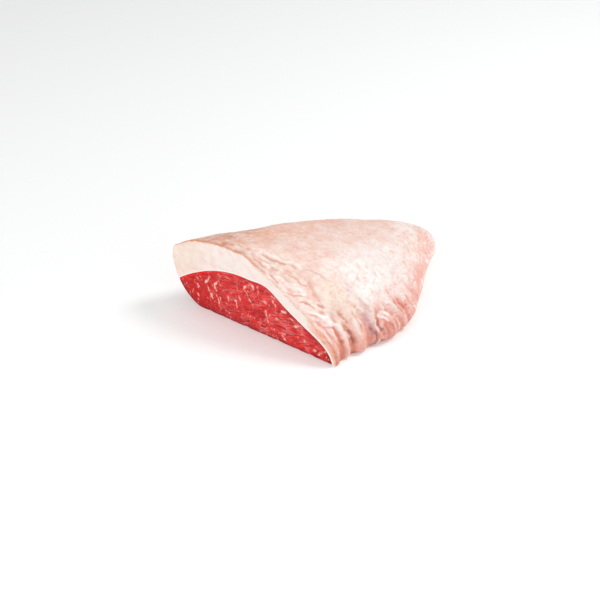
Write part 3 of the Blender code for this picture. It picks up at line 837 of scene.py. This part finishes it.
def shape_outer(outer):
    """The outer lines with all their relief, and the colour of each point."""
    flat = outer.reshape(-1, 3)
    coarse, past_step, in_reach = coarse_relief(flat[:, 0], flat[:, 1])
    regions = Regions(flat, past_step, in_reach)
    shares = stroke_shares(flat)
    push = fat_relief(flat, shares, coarse, regions).reshape(outer.shape[:2])
    # standing sets the painted shade in hollows and the painted highlight on crests
    near = (push - softened(push, NEAR_PASSES)) / NEAR_HEIGHT
    wide = (push - softened(push, WIDE_PASSES)) / WIDE_HEIGHT
    standing = np.clip(0.6 * near + 0.5 * wide, -1, 1)
    tint = outer_tint(flat, shares, regions, standing.ravel())
    # The corner with the lean stays put, and the foot stays on the floor
    steps_in = np.linalg.norm(np.diff(outer, axis=1, prepend=outer[:, :1]), axis=-1)
    from_corner = np.cumsum(steps_in, axis=1)
    push = (push - knife_edge(flat).reshape(push.shape)) * smooth(from_corner, 0, 5)
    moves = grid_normals(outer) * push[..., None]
    moves[..., 2] *= smooth(outer[..., 2], 0, FOOT_HEIGHT)
    shaped = outer + moves
    shaped[..., 2] = np.maximum(shaped[..., 2], 0)
    shaped[0, :, 1] = 0.0
    return shaped, tint


def add_cut_strip(skin, top_line, low_line, top_numbers, low_numbers):
    """The strip of fat on the cut face, in rows from the outer edge to the lean and the rim."""
    places, low_places = shares_along(top_line), shares_along(low_line)
    low_even = np.stack([np.interp(places, low_places, low_line[:, k]) for k in range(3)], axis=1)
    even = np.linspace(0, 1, STRIP_ROWS + 1)[1:-1]
    rows = even - 0.7 * np.sin(2 * math.pi * even) / (2 * math.pi)  # closer together at both edges
    strip = top_line[None] + (low_even - top_line)[None] * rows[:, None, None]
    spots = strip.reshape(-1, 3)
    inside = np.minimum(smooth(rows, 0, 0.15), fading(rows, 0.85, 1))
    waves = noises(spots, (0.3, 9.0, 30.0), (0.16, 2.6, 31.0))
    spots[:, 1] += waves * np.repeat(inside, len(places))
    thickness = np.linalg.norm(low_even - top_line, axis=1)
    from_lean, from_top = np.outer(1 - rows, thickness).ravel(), np.outer(rows, thickness).ravel()
    strip_numbers = skin.add(strip, strip_tint(spots, from_lean, from_top), 1.0)
    skin.grid(np.concatenate([top_numbers[None], strip_numbers]))
    skin.bridge(strip_numbers[-1], low_numbers, places, low_places)


def build_fat(material):
    """The fat cap: its outer surface, the hidden one, the strip on the cut face and the far end."""
    skin = Skin()
    outer, hidden = fat_lines()
    shaped, tint = shape_outer(outer)
    hidden[:, 1:, 2] -= OVERLAP * smooth(hidden[:, 1:, 2], 1, 4)
    hidden[:, 0] = shaped[:, -1]
    outer_numbers = skin.add(shaped, tint, 0.0)
    inner_numbers = skin.add(hidden[:, 1:-1], linear(CUT_FAT), 1.0)
    skin.grid(outer_numbers)
    closed = np.concatenate([outer_numbers[:, -1:], inner_numbers, outer_numbers[:, :1]], axis=1)
    skin.grid(closed)
    low_lines = np.concatenate([hidden[:, :-1], shaped[:, :1]], axis=1)[:, ::-1]
    low_numbers = closed[:, ::-1]
    add_cut_strip(skin, shaped[0], low_lines[0], outer_numbers[0], low_numbers[0])
    places, low_places = shares_along(shaped[-1]), shares_along(low_lines[-1])
    skin.bridge(outer_numbers[-1], low_numbers[-1], places, low_places)
    return skin.make("fat_cap_fine", material)


def streaks_and_glints(points):
    """How strongly the streaks of fat and the painted glints show at each point of the cut face, 0 to 1:
    the broad streaks, and between them faint hooks and short dashes, which also paint the wet face's tiny
    glints. All draws are seeded."""
    draw = np.random.default_rng(STREAK_AND_GLINT_SEED)
    x = points[:, 0] + 1.1 * noise_at(points, 3.6, 50.0)
    z = points[:, 2] + 0.9 * noise_at(points, 3.0, 51.0)
    shown = np.zeros(len(points))

    def stroke(path, width, strength_from, strength_to):
        (left, right), (low, high) = ((min(places), max(places)) for places in zip(*path))
        near = (x > left - STREAK_REACH) & (x < right + STREAK_REACH)
        near &= (z > low - STREAK_REACH) & (z < high + STREAK_REACH)
        aside, share = beside(path, x[near], z[near])
        strength = strength_from + (strength_to - strength_from) * share
        shown[near] = np.maximum(shown[near], strength * bell(aside, width))

    for marble in MARBLES:
        stroke(*marble)
    for _ in range(HOOKS):
        at = (draw.uniform(-92, 72), draw.uniform(2, 54))
        hook = (at[0] - draw.uniform(0.5, 2.2), at[1] - draw.uniform(1.5, 3.5))
        tail = (hook[0] + draw.uniform(1.0, 3.0), hook[1] - draw.uniform(2.5, 6.0))
        strength = draw.uniform(0.1, 0.45)
        stroke((at, hook, tail), draw.uniform(0.6, 1.0), strength, 0.6 * strength)
    # Short dashes: faint streaks of fat and painted glints of the wet face
    for _ in range(DASHES):
        at = (draw.uniform(-92, 76), draw.uniform(1, 54))
        slant = math.radians(draw.choice([-62, 66]) + draw.normal(0, 12))
        length = draw.uniform(1.2, 3.2)
        end = (at[0] + length * math.cos(slant), at[1] - length * abs(math.sin(slant)))
        strength = draw.uniform(0.15, 0.75)
        stroke((at, end), draw.uniform(0.4, 0.65), strength, 0.4 * strength)
    return shown * np.clip(0.82 + 0.85 * noise_at(points, 2.4, 52.0), 0, 1.15)


def lean_fibres(points):
    """The cut lean's fine grain and its bundles, -1 to 1, and the thin lines between them, 0 to 1."""
    fibred = turned(points, LEAN_FIBRES, second=2)
    grain = noise_at(fibred, (6.0, 6.0, 0.8), 73.0)
    bundles = noise_at(fibred, (9.0, 9.0, 4.0), 71.0)
    return grain, bundles, thin_lines(fibred, (16.0, 16.0, 1.7), 75.0, 0.15)


def lean_tint(points, below_top, above_low, streak_and_glint, fibres):
    """Colour of the lean's cut face, from how far each point lies below its top and above its lower
    edge, how strongly the streaks of fat and the painted glints show there, and the fibres."""
    x = points[:, 0]
    grain, bundles, lines = fibres
    bundles = 1.5 * bundles + 0.6 * noise_at(points, 3.0, 72.0)
    patches = noise_at(points, 13.0, 74.0)
    greyed = smooth(x, -70, -30) * (1 - 0.3 * smooth(x, 50, 70)) * unit(0.55 - patches)
    rim_reach = 1.6 + 1.4 * smooth(x, 16, 44) + 0.8 * bundles
    return coated(
        plain_coat(points, LEAN_RED),
        (LEAN_WARM, unit(bundles + 0.5)),
        (LEAN_DARK_AND_SHADE, 0.7 * unit(-bundles - 0.1)),
        (LEAN_DARK_AND_SHADE, 0.4 * unit(-grain - 0.1)),
        (LEAN_GRAIN, 0.7 * unit(grain - 0.15)),
        (LEAN_DARK_AND_SHADE, 0.75 * unit(patches - 0.1)),
        (LEAN_LEFT, 0.92 * fading(x, -64, -24)),
        (LEAN_TIP, 0.8 * fading(x, -96, -86)),
        # Painted shade: darker towards the lower edge, except on the right
        (LEAN_DARK_AND_SHADE, 0.85 * bell(above_low, 6.0) * fading(x, -10, 40)),
        (LEAN_GREY, (0.1 + 0.9 * greyed) * lines),
        (LEAN_RIM, 0.95 * fading(x, -50, -34) * np.exp(-((below_top / 3.0) ** 4))),
        # Painted shade along the top under the fat's edge on the right
        (PAINTED_RIM_SHADE, 0.9 * smooth(x, 4, 20) * bell(below_top, rim_reach)),
        # Painted shade along the lower edge at the floor
        (PAINTED_RIM_SHADE, 0.85 * bell(above_low, 1.7)),
        (LEAN_THIN_END, 0.75 * smooth(x, 64, 72)),
        # Soft pink round the streaks and painted glints, then their pale cores
        (MARBLING_AND_GLINT_EDGE, smooth(streak_and_glint, 0.05, 0.5)),
        (MARBLING_AND_GLINT, smooth(streak_and_glint, 0.28, 0.78)),
    )


def halves(ring):
    """A ring of the lean as two rows from its upper left corner to its right edge: below, and on top."""
    low_end = SIDE_STEPS + BOTTOM_STEPS
    return ring[: low_end + 1], np.concatenate([ring[:1], ring[low_end:][::-1]])


def lean_rings():
    """The lean's rings: its side, its underside, and its top back to the upper left corner."""
    rings = []
    for distance in LEAN_RINGS:
        _, _, inner, side, bottom = section_lines(distance)
        inner[1:-1, 1] += OVERLAP * smooth(inner[1:-1, 1], 1, 4)
        ring = np.concatenate([side[:-1], bottom, inner[1:-1]])
        rings.append(np.insert(ring, 1, distance, axis=1))
    return np.array(rings)


def add_lean_face(skin, ring, ring_numbers):
    """The lean's cut face: columns of points from its lower line up to its top."""
    lower, upper = halves(ring)
    columns = np.linspace(lower[0, 0], lower[-1, 0], FACE_COLUMNS + 2)[1:-1]
    low_z = np.interp(columns, lower[:, 0], lower[:, 2])
    high_z = np.interp(columns, upper[:, 0], upper[:, 2])
    rows = np.linspace(0, 1, FACE_ROWS + 2)[1:-1]
    z = low_z[None] + (high_z - low_z)[None] * rows[:, None]
    face = np.stack([np.broadcast_to(columns, z.shape), np.full(z.shape, LEAN_SET_BACK), z], axis=-1)
    spots = face.reshape(-1, 3)
    below_top = np.tile(high_z, FACE_ROWS) - spots[:, 2]
    above_low = spots[:, 2] - np.tile(low_z, FACE_ROWS)
    streak_and_glint = streaks_and_glints(spots)
    grain, bundles, lines = fibres = lean_fibres(spots)
    colours = lean_tint(spots, below_top, above_low, streak_and_glint, fibres)
    free = smooth(np.minimum(below_top, above_low), 0, 1.5)
    spots[:, 1] -= free * (0.3 * grain + 0.5 * bundles + 0.4 * streak_and_glint + 0.15 * lines)
    face_numbers = skin.add(face, colours, 1.0)
    skin.grid(face_numbers)
    low_row, high_row = halves(ring_numbers)
    skin.bridge(low_row, face_numbers[0], lower[:, 0], columns)
    skin.bridge(high_row, face_numbers[-1], upper[:, 0], columns)
    for end in (0, -1):
        skin.faces.append([int(low_row[end]), *face_numbers[:, end].tolist()])


def build_lean(material):
    """The lean muscle: its side, underside and top, the cut face, and the far end inside the fat."""
    skin = Skin()
    rings = lean_rings()
    spots = rings.reshape(-1, 3)
    # The side that shows under the fat is softly uneven
    uneven = noises(spots, (0.5, 10.0, 60.0), (0.25, 3.0, 61.0))
    flecks = noise_at(spots * [1, 1, 2.5], 3.0, 63.0)
    membrane = unit(0.35 + 1.2 * noise_at(spots, 7.0, 62.0) + 0.9 * flecks)
    side_tint = coated(plain_coat(spots, LEAN_RED), (MEMBRANE, 0.6 * membrane))
    on_side = np.zeros(rings.shape[:2])
    on_side[:, 2:SIDE_STEPS] = 1
    bulge = 0.3 + 0.7 * bell(rings[..., 1], 14.0)
    rings[..., 0] -= (uneven.reshape(on_side.shape) + bulge) * on_side * smooth(rings[..., 2], 2, 14)
    # The lower edge of the cut is a little ragged
    foot = slice(SIDE_STEPS, SIDE_STEPS + BOTTOM_STEPS + 1)
    edge_x = rings[0, foot, 0]
    notches = 1.5 * unit(noise_at(np.outer(edge_x, [1, 0, 0]), 7.0, 64.0))
    notches *= smooth(edge_x, edge_x[0], edge_x[0] + 8) * fading(edge_x, edge_x[-1] - 10, edge_x[-1])
    rings[:, foot, 2] += notches * fading(LEAN_RINGS, 0.5, 6)[:, None]
    numbers = skin.add(rings, side_tint, 0.0)
    skin.grid(np.concatenate([numbers, numbers[:, :1]], axis=1))
    add_lean_face(skin, rings[0], numbers[0])
    end_low, end_high = halves(rings[-1])
    skin.bridge(*halves(numbers[-1]), end_low[:, 0], end_high[:, 0])
    return skin.make("lean_muscle_fine", material)


class Nodes:
    """A short way to write a material's nodes."""

    def __init__(self, material):
        material.use_nodes = True
        self.tree = material.node_tree
        self.shader = self.tree.nodes["Principled BSDF"]

    def add(self, kind, **settings):
        node = self.tree.nodes.new(kind)
        for key, value in settings.items():
            setattr(node, key, value)
        return node

    def put(self, socket, value):
        """Links another node's output to an input, or sets the input to a value."""
        if isinstance(value, bpy.types.NodeSocket):
            self.tree.links.new(value, socket)
        else:
            socket.default_value = value

    def fill(self, node, **inputs):
        """Puts values in a node's inputs, by name, with _ for each space."""
        for name, value in inputs.items():
            self.put(node.inputs[name.replace("_", " ")], value)

    def attribute(self, name, output):
        return self.add("ShaderNodeAttribute", attribute_name=name).outputs[output]

    def texture_space(self, stretch=(1, 1, 1), turn=(0, 0, 0)):
        place = self.add("ShaderNodeTexCoord").outputs["Object"]
        mapping = self.add("ShaderNodeMapping")
        self.fill(mapping, Vector=place, Rotation=turn, Scale=stretch)
        return mapping.outputs["Vector"]

    def noise(self, space, scale, detail, rough):
        node = self.add("ShaderNodeTexNoise")
        self.fill(node, Vector=space, Scale=scale, Detail=detail, Roughness=rough)
        return node.outputs["Fac"]

    def between(self, value, low, high, low_to=0.0, high_to=1.0):
        """low_to where the value is at low, high_to where it is at high, with a soft turn between."""
        node = self.add("ShaderNodeMapRange", interpolation_type="SMOOTHSTEP")
        self.fill(node, Value=value, From_Min=low, From_Max=high, To_Min=low_to, To_Max=high_to)
        return node.outputs["Result"]

    def math(self, operation, first, second):
        node = self.add("ShaderNodeMath", operation=operation)
        for socket, value in zip(node.inputs, (first, second)):
            self.put(socket, value)
        return node.outputs[0]

    def coat(self, colour, shade, amount, *shares):
        """The colour with a coat over it, as thick as the amount times the shares."""
        share = shares[0]
        for factor in (*shares[1:], amount):
            share = self.math("MULTIPLY", share, factor)
        node = self.add("ShaderNodeMix", data_type="RGBA")
        for k, value in ((0, share), (6, colour), (7, (*linear(shade), 1.0))):
            self.put(node.inputs[k], value)
        return node.outputs[2]

    def bump(self, height, distance, strength, **inputs):
        node = self.add("ShaderNodeBump")
        self.fill(node, Height=height, Distance=distance, Strength=strength, **inputs)
        return node.outputs["Normal"]


def fat_material():
    """Moist fat: colours from tint, with fine fibres and blush outside and a faint mottle on the cut."""
    material = bpy.data.materials.new("fat_fine")
    nodes = Nodes(material)
    cut = nodes.attribute("cut", "Fac")
    outside = nodes.math("SUBTRACT", 1.0, cut)
    fibre_space = nodes.texture_space((0.5, 1.0, 0.5), (0, 0, math.radians(-12)))
    fibres = nodes.noise(fibre_space, scale=800.0, detail=4.0, rough=0.6)
    patches = nodes.noise(nodes.texture_space(), scale=260.0, detail=4.0, rough=0.6)
    fine = nodes.noise(nodes.texture_space(), scale=900.0, detail=3.0, rough=0.6)
    colour = nodes.attribute("tint", "Color")
    colour = nodes.coat(colour, BLUSH, 0.25, nodes.between(fibres, 0.5, 0.72), outside)
    colour = nodes.coat(colour, WHITE, 0.22, nodes.between(fibres, 0.5, 0.32), outside)
    colour = nodes.coat(colour, FINE_BLUSH, 0.3, nodes.between(patches, 0.5, 0.7), outside)
    colour = nodes.coat(colour, CUT_BLUSH, 0.25, nodes.between(patches, 0.52, 0.7), cut)
    normal = nodes.bump(fibres, distance=0.0005, strength=0.4)
    nodes.fill(
        nodes.shader,
        Base_Color=colour,
        Roughness=nodes.between(patches, 0.3, 0.7, 0.34, 0.52),
        Normal=nodes.bump(fine, distance=0.0002, strength=0.3, Normal=normal),
        Subsurface_Weight=0.08,
        Subsurface_Radius=(1.0, 0.55, 0.4),
        Subsurface_Scale=0.0014,
        Specular_IOR_Level=0.45,
    )
    return material


def lean_material():
    """Wet lean: colours from tint, with fine grain along the fibres."""
    material = bpy.data.materials.new("lean_fine")
    nodes = Nodes(material)
    fibre_space = nodes.texture_space((0.2, 1.0, 1.0), (0, math.radians(LEAN_FIBRES), 0))
    grain = nodes.noise(fibre_space, scale=1300.0, detail=4.0, rough=0.6)
    fine = nodes.noise(nodes.texture_space(), scale=900.0, detail=2.0, rough=0.5)
    colour = nodes.attribute("tint", "Color")
    colour = nodes.coat(colour, FINE_GRAIN, 0.22, nodes.between(grain, 0.52, 0.7))
    colour = nodes.coat(colour, LEAN_DARK_AND_SHADE, 0.25, nodes.between(grain, 0.46, 0.3))
    normal = nodes.bump(grain, distance=0.0005, strength=0.5)
    nodes.fill(
        nodes.shader,
        Base_Color=colour,
        Roughness=nodes.between(fine, 0.3, 0.7, 0.24, 0.42),
        Normal=nodes.bump(fine, distance=0.0002, strength=0.3, Normal=normal),
        Subsurface_Weight=0.06,
        Subsurface_Radius=(1.0, 0.25, 0.2),
        Subsurface_Scale=0.001,
        Specular_IOR_Level=0.16,
        Coat_Weight=0.04,
        Coat_Roughness=0.2,
    )
    return material


def build_stage():
    """A plain pale floor, soft studio light and a white surround."""
    bpy.ops.mesh.primitive_plane_add(size=FLOOR_SIZE, location=(0, 0, -FLOOR_BELOW))
    floor = bpy.context.object
    floor.name = "floor"
    material = bpy.data.materials.new("floor")
    nodes = Nodes(material)
    nodes.fill(nodes.shader, Base_Color=(*FLOOR_COLOUR, 1), Roughness=FLOOR_ROUGHNESS)
    nodes.fill(nodes.shader, Emission_Color=(1, 1, 1, 1), Emission_Strength=FLOOR_GLOW)
    floor.data.materials.append(material)
    world = bpy.data.worlds.new("surround")
    world.use_nodes = True
    background = world.node_tree.nodes["Background"]
    background.inputs["Color"].default_value = (*SURROUND_COLOUR, 1)
    background.inputs["Strength"].default_value = SURROUND_STRENGTH
    bpy.context.scene.world = world
    for name, place, size, power in LIGHTS:
        data = bpy.data.lights.new(name, "AREA")
        data.shape = "DISK"
        data.size = size
        data.energy = power
        light = bpy.data.objects.new(name, data)
        light.location = place
        light.rotation_mode = "QUATERNION"
        light.rotation_quaternion = (-Vector(place)).to_track_quat("-Z", "Y")
        bpy.context.scene.collection.objects.link(light)


def build_camera():
    """The photograph's view."""
    data = bpy.data.cameras.new("camera")
    data.lens = LENS
    data.sensor_width = SENSOR
    camera = bpy.data.objects.new("camera", data)
    axes = Matrix((CAMERA_RIGHT, -CAMERA_DOWN, -CAMERA_AHEAD)).transposed().to_4x4()
    camera.matrix_world = Matrix.Translation(CAMERA_PLACE) @ axes
    bpy.context.scene.collection.objects.link(camera)
    bpy.context.scene.camera = camera


fat = build_fat(fat_material())
lean = build_lean(lean_material())
for piece, node, slot in ((fat, "fat_cap", "fat"), (lean, "lean_muscle", "lean")):
    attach(piece, "root")
    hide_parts(node)
build_stage()
build_camera()
bpy.context.scene.view_settings.view_transform = "Standard"
